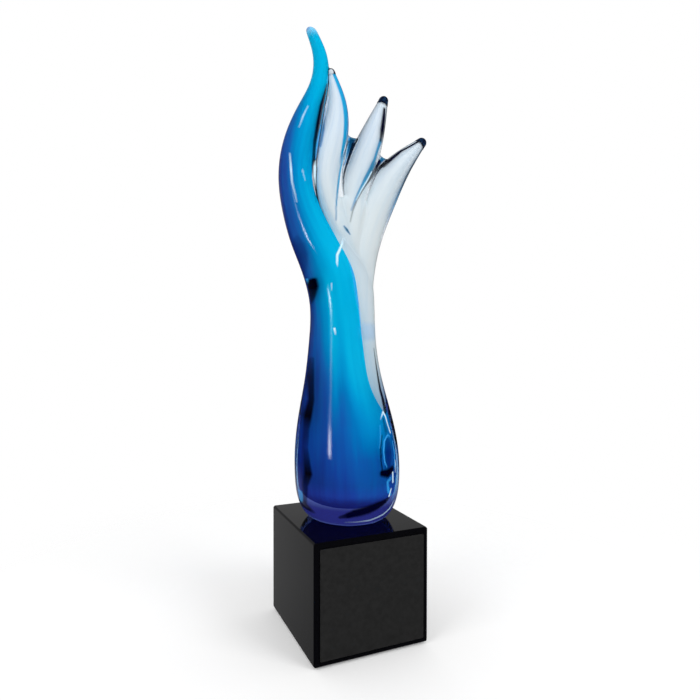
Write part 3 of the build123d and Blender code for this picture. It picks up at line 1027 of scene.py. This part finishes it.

# %% [markdown]
# ## Lines in the casing
# The casing isn't only clear. Dark blue and blue-green lines along the fingers' edges and down
# the angles between them are painted shade, where the glass bends in the dark round it. A violet
# bruise sits in the bulb, and the dark loop and dark patches low in the bulb are painted refractions
# of the dark below and beside it. The thin bright threads are painted highlights and glints of bent
# light. Modelled as geometry they would be hair-thin and hard to keep inside the glass, so they are
# strokes of colour in its surface: each is a soft-edged line with its own width and strength,
# painted on the vertices of the front.

# %% Casing lines
# side step, height above the foot, half width in millimetres, and strength, along each line
casing_lines = {
    # painted shade: dark lines on the edges and in the angles, and dark refractions low in the bulb
    "dark_shade": [
        [(-15.7, 277, 0.5, 0.8), (-18.3, 268, 1.1, 1.0), (-20.4, 261, 1.6, 1.0),
         (-23.0, 250, 1.7, 1.0), (-26.0, 238, 1.3, 0.9), (-28.0, 222, 0.8, 0.8),
         (-27.8, 212, 0.5, 0.6), (-26.6, 200, 0.4, 0.3)],
        [(0.4, 244, 0.6, 0.6), (-2.0, 240, 0.7, 1.0), (-3.8, 236.5, 0.6, 0.7),
         (-6.2, 230.7, 0.4, 0.4)],
        [(25.5, 268, 0.9, 1.0), (24.9, 263.7, 1.3, 1.0), (22.9, 253, 1.7, 1.0),
         (21.4, 246, 1.0, 0.8)],
        [(23.0, 234.0, 1.3, 1.0), (19.4, 228.4, 1.7, 1.0), (14.2, 221.4, 1.4, 0.9),
         (9.4, 215.4, 0.8, 0.8), (6.2, 210.8, 0.6, 0.7), (2.0, 204, 0.5, 0.6),
         (-0.9, 197.5, 0.5, 0.5), (-2.6, 190, 0.4, 0.3)],
        [(-7.3, 186.3, 0.3, 0.4), (-5.4, 184.4, 0.5, 0.7), (-3.5, 182.2, 0.3, 0.4)],
        [(53.5, 251.4, 0.6, 1.0), (46.0, 246.6, 0.6, 1.0), (38.7, 242.3, 0.7, 1.0),
         (30.1, 235.2, 1.0, 1.0), (24.5, 230.5, 1.2, 0.9)],
        [(-25.2, 104, 0.4, 0.4), (-26.4, 92, 0.7, 0.8), (-27.8, 78, 0.9, 0.9),
         (-29.8, 68, 1.1, 1.0), (-31.0, 60, 0.8, 0.6), (-32.0, 49, 0.7, 0.35),
         (-31.8, 40, 1.0, 0.8), (-31.4, 33, 1.3, 1.0), (-32.2, 25, 0.8, 0.7), (-31.8, 17, 0.6, 0.6),
         (-31.6, 12.6, 1.0, 0.8), (-29.8, 10.0, 1.2, 0.9), (-28.0, 8.6, 0.8, 0.5)],
        [(-16.0, 8.6, 1.0, 0.7), (-12.0, 10.0, 2.0, 1.0), (-8.7, 11.4, 2.5, 1.0),
         (-4.0, 12.4, 2.7, 1.0), (0.4, 13.4, 2.7, 1.0), (6.0, 15.0, 2.3, 1.0),
         (11.5, 16.6, 1.5, 1.0), (15.0, 18.0, 0.8, 0.7)],
        [(11.6, 110, 0.4, 0.6), (12.8, 96, 0.8, 0.9), (13.6, 84, 1.2, 1.0), (15.0, 77.7, 1.5, 1.0),
         (15.5, 71, 1.6, 0.9)],
        [(12.4, 66.5, 0.7, 0.5), (13.6, 60, 1.4, 0.35), (13.9, 57.4, 1.2, 0.2)],
        [(9.6, 57, 0.6, 0.6), (7.8, 50, 0.6, 0.8), (7.6, 42, 0.6, 0.8), (8.6, 36, 0.6, 0.8)],
        [(8.6, 34.6, 2.0, 1.0), (13.0, 33.8, 2.7, 1.0), (17.0, 35.6, 2.0, 1.0)],
        [(-26.9, 152, 1.4, 0.8), (-26.2, 152.3, 1.6, 1.0), (-25.2, 148.5, 1.6, 1.0),
         (-24.8, 142, 0.8, 0.8), (-25.2, 134, 0.5, 0.4)],
    ],
    # painted shade in the seams between limbs, tinted blue-green
    "painted_teal": [
        [(-7.6, 186.6, 0.5, 0.8), (-5.4, 184.4, 0.9, 1.0), (-3.2, 182.0, 0.5, 0.8)],
        [(-16.0, 262.5, 0.6, 0.5), (-18.6, 248, 0.9, 0.8), (-21.0, 237, 0.7, 0.6)],
        [(3.5, 243, 0.6, 1.0), (2.0, 238.6, 0.6, 1.0), (-0.3, 231.7, 0.6, 0.7),
         (-5.6, 226.1, 0.5, 0.5)],
        [(-3.8, 236.5, 0.6, 0.8), (-6.2, 230.7, 0.9, 1.0), (-8.9, 221, 0.9, 1.0),
         (-10.9, 212, 0.8, 1.0), (-12.0, 206, 0.6, 0.9), (-12.9, 198, 0.5, 0.8),
         (-12.6, 190, 0.4, 0.5)],
        [(18.0, 231.0, 0.5, 0.9), (13.6, 223.6, 0.6, 1.0), (8.6, 216.2, 0.6, 1.0),
         (4.0, 208.6, 0.5, 0.9)],
        [(21.6, 246, 1.3, 0.9), (18.7, 239.1, 1.0, 1.0), (16.3, 232.2, 1.1, 1.0),
         (13.0, 225.1, 1.5, 1.0), (9.2, 219.3, 1.2, 1.0), (4.4, 210.8, 0.9, 0.9),
         (1.0, 204.1, 0.8, 0.7), (-1.8, 197.5, 0.5, 0.4)],
    ],
    # painted glints: lines of light bent through the glass, and a soft patch of painted light on the
    # neck
    "cyan": [
        [(17.0, 55.5, 0.4, 0.5), (14.6, 56.6, 0.5, 0.7), (11.2, 53.5, 0.6, 0.8),
         (10.0, 47, 0.5, 0.8), (10.6, 41, 0.5, 0.7), (12.4, 37.6, 0.4, 0.5)],
        [(19.4, 52, 0.5, 0.5), (20.6, 45, 0.6, 0.7), (20.4, 36, 0.6, 0.6)],
        [(15.6, 30, 1.0, 0.5), (12.8, 28.5, 0.8, 0.6), (13.8, 23, 1.1, 0.7), (16.4, 20, 0.8, 0.6)],
        [(22.0, 30, 0.5, 0.5), (20.4, 21, 0.5, 0.5), (18.4, 16, 0.4, 0.3)],
        [(3.6, 120.5, 5.0, 0.16), (12.4, 120.5, 5.0, 0.16)],
        [(8.9, 63, 0.5, 0.4), (8.4, 56, 0.6, 0.5), (7.0, 50, 0.4, 0.3)],
        [(-7.6, 164, 0.4, 0.3), (-5.2, 157, 0.6, 0.7), (-1.9, 140, 0.8, 0.7), (-0.5, 134, 0.6, 0.4),
         (0.4, 122, 0.4, 0.3)],
        [(-20.4, 250, 0.4, 0.5), (-22.6, 242, 0.5, 0.8), (-24.2, 235, 0.6, 0.9),
         (-25.6, 227, 0.4, 0.6)],
        [(-28.0, 153.8, 0.5, 0.7), (-27.2, 149, 0.6, 0.8), (-26.4, 144, 0.4, 0.4)],
        [(-33.0, 7.0, 0.4, 0.4), (-31.8, 11, 0.4, 0.6), (-33.0, 20, 0.4, 0.4)],
    ],
    "violet": [
        [(-36.6, 179, 0.8, 0.3), (-34.8, 173.5, 2.2, 0.55), (-33.0, 168, 2.4, 0.6),
         (-31.4, 162.5, 1.6, 0.5), (-29.8, 158, 0.8, 0.3)],
        [(14.2, 53, 2.2, 0.8), (14.1, 46.6, 3.4, 0.9), (13.5, 39, 2.6, 0.8)],
    ],
    # painted highlights and glints
    "pale": [
        [(9.9, 66.5, 0.4, 0.2), (11.4, 68.6, 0.5, 0.6), (13.0, 70.6, 0.6, 0.9),
         (14.8, 68, 0.5, 0.9), (16.2, 62.6, 0.5, 0.7), (18.0, 57.6, 0.5, 0.8)],
        [(17.9, 33.5, 0.5, 0.9), (18.2, 27.5, 0.6, 0.9)],
        [(16.5, 23.4, 0.5, 0.7), (14.9, 19.4, 0.6, 0.9)],
        [(20.3, 44, 0.3, 0.3), (21.2, 38, 0.4, 0.8), (21.0, 33, 0.4, 0.4)],
        [(-12.8, 4.9, 0.4, 0.1), (2.3, 5.5, 0.5, 0.5), (12.0, 7.6, 0.5, 0.6),
         (18.0, 10.5, 0.5, 0.7), (21.5, 14.6, 0.4, 0.3)],
        [(-9.4, 178, 0.4, 0.4), (-11.8, 173, 0.6, 0.9), (-14.9, 167.5, 0.7, 0.9),
         (-15.2, 162.5, 0.5, 0.8), (-14.6, 160, 0.3, 0.2)],
        [(-29.8, 259.8, 0.4, 0.3), (-33.2, 253, 0.5, 0.5), (-36.0, 245.7, 0.4, 0.2)],
        [(-41.8, 229, 0.4, 0.4), (-41.4, 219, 0.5, 0.8), (-40.9, 211.4, 0.5, 0.5),
         (-38.2, 199.5, 0.4, 0.3)],
        [(-35.0, 218.6, 0.4, 0.4), (-33.5, 212.6, 0.4, 0.2)],
        [(-25.4, 227, 0.5, 0.2), (-26.2, 222, 1.0, 0.9), (-26.6, 216, 0.8, 0.9),
         (-26.2, 209, 0.4, 0.1)],
        [(14.2, 224.4, 0.4, 0.8), (10.6, 218.4, 0.5, 0.8), (5.4, 210.9, 0.4, 0.8),
         (1.6, 204.1, 0.3, 0.5)],
        [(-15.7, 122.4, 0.5, 0.9), (-15.3, 119, 0.4, 0.4)],
        [(-17.6, 150, 0.3, 0.5), (-17.4, 146, 0.3, 0.3)],
    ],
}
print("casing lines:", {kind: len(lines) for kind, lines in casing_lines.items()})

# %% Casing strokes
def stroke(side, height, line):
    """How strongly a soft-edged line covers each place on the front of the casing."""
    line = np.array(line, float) * (mm, mm, mm, 1)
    cover = np.zeros(len(side))
    for first, second in zip(line[:-1], line[1:]):
        run = second[:2] - first[:2]
        share = ((side - first[0]) * run[0] + (height - first[1]) * run[1]) / (run @ run)
        share = np.clip(share, 0, 1)
        gap = np.hypot(side - first[0] - share * run[0], height - first[1] - share * run[1])
        half_width = first[2] + share * (second[2] - first[2])
        strength = first[3] + share * (second[3] - first[3])
        cover = np.maximum(cover, strength * soft_step(gap / half_width, 1.5, 0.6))
    return cover


middle_cover = stroke(np.zeros(1), np.zeros(1), [(-1, 0, 1, 1), (1, 0, 1, 1)])[0]
print("cover in the middle of a line:", middle_cover)

# %% [markdown]
# ## Painted shade and light along whole edges
# Some painted shade doesn't lie in a line of its own: it darkens the edge of a whole finger, or the
# flanks of the bulb and neck, where the glass bends in the dark round it. Blue-green on a finger's
# edge is painted light bent in from beside it.
# Drawn by hand, such an edge would wander off the glass. So it is given by the place along a limb
# and the turn round it, which keeps it on the edge from any side.

# %% Tinted edges
# finger, side of it, colour: dark for painted shade, blue-green for painted light bent in from
# beside it; then strength, and where along the finger it comes in
finger_rim_light_and_shade = [
    ("upper", 1, "painted_teal", 0.35, 0.52, 0.66),
    ("middle", 1, "dark_shade", 1.0, 0.70, 0.80),
    ("middle", -1, "dark_shade", 0.8, 0.50, 0.70),
    ("lower", -1, "dark_shade", 0.35, 0.55, 0.75),
    ("lower", 1, "dark_shade", 0.7, 0.60, 0.80),
    ("lower", 1, "painted_teal", 0.8, 0.42, 0.64),
]


def turned_to(around, near, full):
    """1 on one flank of a limb, from a turn nearer its front to just short of its back."""
    side = math.copysign(1, full)
    return soft_step(around * side, near * side, full * side) * soft_step(around * side, 0.80, 0.66)


print("tinted edges on the fingers:", len(finger_rim_light_and_shade))

# %% Casing paint
front_limit = 0.002
flame_tip_highlight_strength = 0.36


def paint_casing(piece):
    """Where painted shade, painted light and highlights lie on the casing, and where its body is
    tinted.
    """
    points = vertex_places(piece)
    height = points[:, 2] - foot_level
    stem = stem_curve(stem_shares)
    places = {"stem": limb_places(points, *level_rows(stem), stem[:, 2], stem[:, 3])}
    for name, finger in fingers.items():
        places[name] = limb_places(points, *finger_rows(finger)[:4])
    reach = np.array([distance for along, around, distance in places.values()])
    owner = np.array(list(places))[reach.argmin(axis=0)]
    marks = {kind: np.zeros(len(points)) for kind in casing_lines}
    # the webs' own blue, darkened as painted shade between the limbs
    marks["painted_teal"] = soft_step(reach.min(axis=0), 1.05, 1.20) * soft_step(height, 0.205, 0.220)
    # painted shade and painted bent light along the fingers' edges
    for name, side, kind, strength, low, high in finger_rim_light_and_shade:
        along, around, distance = places[name]
        rim = strength * turned_to(around, 0.34 * side, 0.42 * side) * soft_step(along, low, high)
        marks[kind] = np.maximum(marks[kind], rim * (owner == name))
    for kind, lines in casing_lines.items():
        for line in lines:
            cover = stroke(points[:, 0], height, line) * (points[:, 1] < front_limit)
            marks[kind] = np.maximum(marks[kind], cover)
    # tint works twice, on the way in and out of the glass, so a part cover is made stronger
    for kind in ("dark_shade", "painted_teal"):
        marks[kind] = 1 - (1 - np.clip(marks[kind], 0, 1)) ** 2
    # a painted highlight over the flame's tip
    flame_tip_highlight = flame_tip_highlight_strength * soft_step(height, 0.3060, 0.3125)
    marks["pale"] = np.maximum(marks["pale"], flame_tip_highlight)
    turn = places["stem"][1]
    # the flanks of the bulb and neck: the glass's own blue, deepened as painted shade
    left_rim_shade = turned_to(turn, -0.28, -0.42) * soft_step(height, 0.27, 0.22)
    right_rim_shade = turned_to(turn, 0.30, 0.44) * soft_step(height, 0.105, 0.070)
    marks["edge"] = np.maximum(left_rim_shade, right_rim_shade) * (owner == "stem")
    marks["low"] = soft_step(height, 0.13, 0.05)
    marks["deep"] = soft_step(height, 0.022, 0.012)
    for name, values in marks.items():
        store(piece, name, np.clip(values, 0, 1))
    print("numbers kept on the casing:", ", ".join(marks))


paint_casing(casing)

# %% [markdown]
# ## The casing's glass
# Clear glass is a transmission of 1 with a refractive index of 1.5, and a faint blue that builds
# up with depth. Each painted number lays one tint over the last. The painted highlights and glints
# glow a little instead of letting light through, so they are a second shader. Shadow rays pass
# straight through: without that, Blender gives clear glass a black shadow, where real glass lets
# most light by.

# %% Casing material
# tints: the flanks and the dark lines are painted shade, the blue-green is painted shade and bent light
casing_tints = [
    ("low", (0.48, 0.80, 0.98)), ("edge", (0.02, 0.10, 0.42)), ("deep", (0.025, 0.028, 0.19)),
    ("violet", (0.06, 0.02, 0.22)), ("painted_teal", (0.01, 0.20, 0.50)), ("dark_shade", (0.0, 0.0, 0.0012)),
]
clear_tint = (0.95, 0.98, 1.0)
# colours of the glowing painted highlights and glints
pale_glint_colour, cyan_glint_colour = (0.62, 0.85, 0.98), (0.02, 0.33, 0.78)


def casing_material():
    """Clear glass with its tints, its painted highlights and glints, and a light shadow."""
    material, tree, shader = new_material("clear_glass")
    colour = clear_tint
    for name, tint in casing_tints:
        colour = blend_colours(tree, attribute(tree, name), colour, tint)
    feed(tree, shader, Base_Color=colour, Roughness=0.0, IOR=1.5, Transmission_Weight=1.0)
    add_waves(tree, shader, size=60.0, strength=0.25, distance=0.0006)
    # where the painted highlights and glints lie, and a glowing shader for them
    pale, cyan = attribute(tree, "pale"), attribute(tree, "cyan")
    bluer = node(tree, "ShaderNodeMath", cyan, pale, operation="GREATER_THAN").outputs[0]
    glint_colour = blend_colours(tree, bluer, pale_glint_colour, cyan_glint_colour)
    glint = node(
        tree, "ShaderNodeBsdfPrincipled", Base_Color=glint_colour, Emission_Color=glint_colour,
        Emission_Strength=0.25, Roughness=0.3)
    either = node(tree, "ShaderNodeMath", pale, cyan, operation="MAXIMUM").outputs[0]
    glinted = node(
        tree, "ShaderNodeMixShader", either, shader.outputs["BSDF"], glint.outputs["BSDF"])
    shadow = node(tree, "ShaderNodeBsdfTransparent", Color=(0.8, 0.88, 0.95))
    rays = node(tree, "ShaderNodeLightPath").outputs["Is Shadow Ray"]
    surface = node(
        tree, "ShaderNodeMixShader", rays, glinted.outputs["Shader"], shadow.outputs["BSDF"])
    depth_tint = node(tree, "ShaderNodeVolumeAbsorption", Color=(0.45, 0.70, 1.0), Density=6.0)
    feed(
        tree, tree.nodes["Material Output"], Surface=surface.outputs["Shader"],
        Volume=depth_tint.outputs["Volume"])
    return material


wear(casing, casing_material())
print("tints in the casing:", len(casing_tints))

# %% [markdown]
# ## The dark beads' glass
# The beads are cobalt so deep that it looks black, with a blue glimmer where it thins, and the
# ribbons of painted shade wear the same glass.
# Over the upper finger's end the bead is only a film, and the white shows through it inside a
# dark rim. That could be a second, smaller bead, but a painted number gives the same look.

# %% Dark tip material
def cobalt_material():
    """Near-black cobalt, blue where the cloud is thin, and pale where the glass itself is."""
    material, tree, shader = new_material("cobalt_glass")
    place = node(tree, "ShaderNodeTexCoord").outputs["Object"]
    noise = node(tree, "ShaderNodeTexNoise", Vector=place, Scale=900.0)
    dark = ramp(tree, noise.outputs["Fac"], [
        (0.45, (0.004, 0.006, 0.022)), (0.75, (0.01, 0.05, 0.13))])
    thin = ramp(tree, attribute(tree, "thin"), [(0.40, 0.0), (0.52, 1.0)])
    colour = blend_colours(tree, thin, dark, (0.68, 0.75, 0.82))
    feed(tree, shader, Base_Color=colour, Roughness=0.04)
    add_waves(tree, shader, size=300.0, strength=0.3, distance=0.0003)
    return material


# the camera's right, seen from above
camera_right = np.array((0.93, -0.365))


def paint_thin_tip(cap, radius):
    """How far inside the bead's outline a place is, counted in radii. The dark rim is thickest
    on the left and over the top."""
    points = vertex_places(cap)
    middle = points[points[:, 2].argmax()] - (0, 0, radius)
    step = (points - middle) / radius
    across = step[:, :2] @ camera_right
    gap = np.hypot(across - 0.12, np.maximum(step[:, 2] + 0.06, 0.0))
    store(cap, "thin", np.clip(1.0 - gap, 0, 1))


paint_thin_tip(caps["upper"], fingers["upper"]["bead_radius"])
cobalt_glass = cobalt_material()
# the beads and the ribbons of painted shade wear the same cobalt glass
for piece in (*caps.values(), *shade_ribbons.values()):
    wear(piece, cobalt_glass)
print("pieces of cobalt glass:", len(caps) + len(shade_ribbons))

# %% [markdown]
# ## Black crystal
# The cube is black crystal, so polished that it mirrors the room: almost no colour of its own, and
# a gloss that fingers have hazed a little. It could be real refracting glass with a dark body,
# but light never gets through it, so a black, glossy surface looks the same and renders faster.
# The CAD solid already has the right shape and bevels, so it stays and only gets its finish.

# %% Black crystal
def crystal_material():
    """Polished black crystal, with the faintest haze of handling."""
    material, tree, shader = new_material("black_crystal")
    feed(
        tree, shader, Base_Color=(0.002, 0.002, 0.003),
        Roughness=cloud(tree, 35.0, low=0.015, high=0.06))
    add_waves(tree, shader, size=20.0, strength=0.05, distance=0.0002)
    return material


wear(nodes["base_block"], crystal_material())
print("cube:", nodes["base_block"].data.materials[0].name)

# %% [markdown]
# ## The plate
# The plate on the cube's front is thin metal in satin black paint. A plain grey would look like
# plastic. Real paint has a fine grain that breaks up the sheen, so small clouds move its tone and
# its roughness a little, and much finer ones bend the light.

# %% Plate finish
def plate_material():
    """Satin black paint with a fine grain."""
    material, tree, shader = new_material("black_plate")
    colour = ramp(tree, cloud(tree, 420.0, detail=6.0), [(0.0, 0.016), (1.0, 0.023)])
    feed(tree, shader, Base_Color=colour, Roughness=cloud(tree, 90.0, low=0.40, high=0.50))
    add_bump(tree, shader, cloud(tree, 2600.0), strength=0.15, distance=0.00005)
    return material


wear(nodes["engraving_plate"], plate_material())
print("plate:", nodes["engraving_plate"].data.materials[0].name)

# %% [markdown]
# ## The felt
# The pad under the cube is black felt: short matted fibres that take nearly all the light, with
# some loose ones a little paler. Hair would show each fibre, but only the pad's edge is ever
# seen, so a deep fine bump and a touch of sheen are enough.

# %% Felt finish
def felt_material():
    """Short black nap: dull, with loose fibres a little paler."""
    material, tree, shader = new_material("black_felt")
    colour = ramp(tree, cloud(tree, 1800.0, detail=5.0), [(0.0, 0.006), (1.0, (0.035, 0.035, 0.036))])
    feed(tree, shader, Base_Color=colour, Roughness=0.95, Sheen_Weight=0.3)
    add_bump(tree, shader, cloud(tree, 2400.0, detail=4.0), strength=0.6, distance=0.0003)
    return material


wear(nodes["felt_pad"], felt_material())
print("felt:", nodes["felt_pad"].data.materials[0].name)

# %% [markdown]
# ## The adhesives
# Two films of adhesive hold the award together: a clear one, set by light, under the foot, and a
# tape behind the plate. Both press out into cloudy patches. Pressed on black, a clear film looks
# as dark as what it lies on, so both are dark films that differ in tone and gloss.

# %% Adhesive films
def film_material(name, dark, light, low, high):
    """A thin film of adhesive, with cloudy patches where it has flowed."""
    material, tree, shader = new_material(name)
    colour = ramp(tree, cloud(tree, 160.0, detail=3.0), [(0.0, dark), (1.0, light)])
    feed(tree, shader, Base_Color=colour, Roughness=cloud(tree, 240.0, low, high))
    return material


clear_adhesive = film_material(
    "clear_adhesive", (0.015, 0.016, 0.03), (0.03, 0.035, 0.06), 0.12, 0.25)
wear(nodes["bond_disc"], clear_adhesive)
wear(nodes["plate_tape"], film_material("adhesive_tape", 0.02, 0.05, 0.5, 0.7))
print("films:", nodes["bond_disc"].data.materials[0].name, nodes["plate_tape"].data.materials[0].name)

# %% [markdown]
# ## Joining the frame
# Nothing on a glass award moves, so every piece rides on the one body, and the CAD node that
# each stands for is hidden. The ribbons are painted shade and not pieces of their own, so they
# stand with the blue core.

# %% Riding on the frame
glass_pieces = [
    (casing, "clear_casing", "clear_glass"),
    (blue_core, "blue_core", "blue_glass"),
    (opal_core, "opal_core", "opal_glass"),
]
# the ribbons of painted shade ride with the blue core
glass_pieces += [(shade_ribbon, "blue_core", "cobalt_glass") for shade_ribbon in shade_ribbons.values()]
glass_pieces += [(cap, "fingertip_" + name, "cobalt_glass") for name, cap in caps.items()]
for piece, stands_for, slot in glass_pieces:
    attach(piece, "root")
    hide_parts(stands_for)
print("pieces of glass:", len(glass_pieces))

# %% [markdown]
# ## The studio floor
# The photograph is cut out on white. A sheet with a curved back would do that too, but it would
# show in the cube. So the floor is a flat white disc that keeps the object's soft shadow and fades
# out before its edge, where no horizon shows. Its lift of light is only for the camera, so it
# doesn't brighten the object.

# %% Floor
floor_radius, floor_sides = 0.9, 96
fade_from, fade_to = 0.12, 0.35
camera_lift = 0.16


def ring_of(radius, count, level):
    """Points of a level circle."""
    turns = [2 * math.pi * k / count for k in range(count)]
    return [(radius * math.cos(turn), radius * math.sin(turn), level) for turn in turns]


def floor_disc():
    """A round floor of dull white that only the object's shadow marks."""
    verts = [(0.0, 0.0, 0.0)] + ring_of(floor_radius, floor_sides, 0.0)
    faces = [(0, k + 1, (k + 1) % floor_sides + 1) for k in range(floor_sides)]
    disc = mesh_piece("floor", verts, faces, smooth=False)
    material, tree, shader = new_material("floor")
    place = node(tree, "ShaderNodeTexCoord").outputs["Object"]
    away = node(tree, "ShaderNodeVectorMath", place, operation="LENGTH").outputs["Value"]
    rays = node(tree, "ShaderNodeLightPath").outputs["Is Camera Ray"]
    lift = node(tree, "ShaderNodeMath", rays, camera_lift, operation="MULTIPLY").outputs[0]
    feed(
        tree, shader, Base_Color=(0.9, 0.9, 0.9), Roughness=1.0, Specular_IOR_Level=0.0,
        Alpha=scaled(tree, away, fade_to, fade_from), Emission_Color=(1, 1, 1), Emission_Strength=lift)
    wear(disc, material)
    disc.visible_glossy = False


floor_disc()
print("floor radius:", floor_radius)

# %% [markdown]
# ## The white world
# The world is the photographer's white room. A single white backdrop would do for the camera, but
# glass bends in light from every side. So the camera, the gloss and the glass all see the world
# at full white, and it lights dull surfaces a little less, so that the white glass keeps its
# shading.

# %% World
world_light = 0.75
world = bpy.data.worlds.new("studio")
bpy.context.scene.world = world
world.use_nodes = True
rays = node(world.node_tree, "ShaderNodeLightPath").outputs
seen = rays["Is Camera Ray"]
for kind in ("Is Glossy Ray", "Is Transmission Ray"):
    seen = node(world.node_tree, "ShaderNodeMath", seen, rays[kind], operation="MAXIMUM").outputs[0]
level = node(world.node_tree, "ShaderNodeMapRange", Value=seen, To_Min=world_light, To_Max=1.0)
feed(
    world.node_tree, world.node_tree.nodes["Background"], Color=(1, 1, 1),
    Strength=level.outputs["Result"])
print("world light:", world_light)

# %% [markdown]
# ## Dark cards
# Clear glass shows what is round it. The white world makes it bright, and then its edges are lost
# against the white. A glass photographer stands two dark cards just out of the picture, and the
# edges of the glass bend far enough to show them as thin dark lines.

# %% Cards
studio_middle = Vector((0.0, 0.0, 0.23))
card_distance, card_width, card_half_height, card_azimuth = 0.9, 0.25, 0.6, 74
card_grey = (0.02, 0.02, 0.02)


def direction(azimuth, elevation=0.0):
    """The way out from the object, and the way to the side of that. The azimuth is counted from
    the camera's forward direction, to the right."""
    heading = math.atan2(camera_forward.x, camera_forward.y) + math.radians(azimuth)
    lift = math.radians(elevation)
    level_out = Vector((math.sin(heading), math.cos(heading), 0.0))
    out = level_out * math.cos(lift) + Vector((0.0, 0.0, math.sin(lift)))
    return out, Vector((math.cos(heading), -math.sin(heading), 0.0))


def studio_light(piece, tree, shader, colour, strength, through=False):
    """Makes a piece of the studio that only shines, seen in gloss, or through glass too."""
    feed(
        tree, shader, Base_Color=(0, 0, 0), Specular_IOR_Level=0.0, Emission_Color=colour,
        Emission_Strength=strength)
    piece.visible_camera = piece.visible_diffuse = piece.visible_shadow = False
    piece.visible_transmission = through
    print("studio piece:", piece.name)


def upright(name, azimuth, distance, width, low, high, attributes=None):
    """An upright rectangle that faces the object, between two levels."""
    out, sideways = direction(azimuth)
    verts = []
    for level in (low, high):
        for side in (-1, 1):
            verts.append(out * distance + sideways * (side * width / 2) + Vector((0, 0, level)))
    piece = mesh_piece(name, verts, [(0, 1, 3, 2)], attributes, smooth=False)
    material, tree, shader = new_material(name)
    wear(piece, material)
    return piece, tree, shader


for name, azimuth in (("left_card", -card_azimuth), ("right_card", card_azimuth)):
    piece, tree, shader = upright(
        name, azimuth, card_distance, card_width, studio_middle.z - card_half_height,
        studio_middle.z + card_half_height)
    studio_light(piece, tree, shader, card_grey, 1.0, through=True)

# %% [markdown]
# ## The tent
# Black crystal is a mirror, and in a white room it would look white. A dim tent round the set,
# which only reflections see, keeps it black. The tent is lighter at the back, above and below, so
# that the cube's top and left side still catch some light.

# %% Tent
tent_sides, tent_radius, tent_height = 64, 1.5, 1.6
lit_azimuth = -12
tent_round = [(0.0, 0.02), (0.35, 0.06), (0.72, 0.16), (0.95, 0.32), (1.0, 0.35)]
tent_bands = [
    (0.0, 0.4), (0.30, 1.0), (0.38, 1.0), (0.43, 0.12), (0.57, 0.12), (0.65, 1.0), (1.0, 0.5)]


def surround():
    """A dim closed tent round the set, lighter at the back, above and below."""
    count = tent_sides
    verts = ring_of(tent_radius, count, -tent_height) + ring_of(tent_radius, count, tent_height)
    faces = [(k, (k + 1) % count, count + (k + 1) % count, count + k) for k in range(count)]
    faces += [tuple(range(count, 2 * count)), tuple(range(count))]
    tent = mesh_piece("surround", verts, faces, smooth=False)
    material, tree, shader = new_material("surround")
    wear(tent, material)
    place = node(tree, "ShaderNodeTexCoord").outputs["Object"]
    heading = node(tree, "ShaderNodeVectorMath", place, operation="NORMALIZE").outputs[0]
    lit = node(
        tree, "ShaderNodeVectorMath", heading, direction(lit_azimuth)[0], operation="DOT_PRODUCT")
    parts = node(tree, "ShaderNodeSeparateXYZ", Vector=heading)
    colour = ramp(tree, lit.outputs["Value"], tent_round)
    bands = ramp(tree, scaled(tree, parts.outputs["Z"], -1.0, 1.0), tent_bands)
    banded = node(tree, "ShaderNodeVectorMath", colour, bands, operation="MULTIPLY")
    studio_light(tent, tree, shader, banded.outputs[0], 1.0)


surround()

# %% [markdown]
# ## The window
# One tall soft highlight runs up the left of the bulb and the neck. It is the mirror image of a
# window or a soft box, so it is made as that: an upright sheet of light behind the camera's left
# shoulder, with soft edges, brightest near its foot. Only reflections see it.

# %% Window
window_level, window_distance, window_width = 0.14, 1.0, 0.26
window_azimuth, window_power = 180 + 39, 12.0
window_rises = (-8, 24)
window_low, window_high = (
    window_level + math.tan(math.radians(rise)) * window_distance for rise in window_rises)
window_bell = [(0.0, 0.0), (0.25, 0.25), (0.5, 1.0), (0.75, 0.25), (1.0, 0.0)]
window_up = [(0.0, 0.0), (0.10, 1.0), (0.30, 1.0), (0.52, 0.20), (1.0, 0.0)]
piece, tree, shader = upright(
    "soft_window", window_azimuth, window_distance, window_width, window_low, window_high,
    {"across": [-1, 1, -1, 1], "up": [0, 0, 1, 1]})
bell = ramp(tree, scaled(tree, attribute(tree, "across"), -1, 1), window_bell)
rising = ramp(tree, attribute(tree, "up"), window_up)
both = node(tree, "ShaderNodeVectorMath", bell, rising, operation="MULTIPLY")
studio_light(piece, tree, shader, both.outputs[0], window_power)

# %% [markdown]
# ## The lamps
# Two soft boxes behind the camera light the colours evenly from both sides. One hard lamp would
# throw the casing's shadow on the cores. The boxes aren't seen in the glass: the window makes the
# one highlight, and the lamps only light what is inside.

# %% Lamps
lamp_size, lamp_distance, lamp_elevation = 0.5, 1.2, 35


def lamp(name, azimuth, power):
    """A soft box that faces the object."""
    out = direction(azimuth, lamp_elevation)[0]
    data = bpy.data.lights.new(name, "AREA")
    data.shape = "RECTANGLE"
    data.size = data.size_y = lamp_size
    data.energy = power
    made = bpy.data.objects.new(name, data)
    made.location = studio_middle + out * lamp_distance
    made.rotation_euler = (-out).to_track_quat("-Z", "Y").to_euler()
    made.visible_glossy = made.visible_transmission = False
    bpy.context.scene.collection.objects.link(made)
    print("lamp:", name)


lamp("key_right", 180 - 55, 4.0)
lamp("fill_left", 180 + 50, 3.0)

# %% [markdown]
# ## The look
# A filmic view would soften the white and the blues, and the plain one shows each colour about as
# it is written, so the plain one is used.

bpy.context.scene.view_settings.view_transform = "Standard"
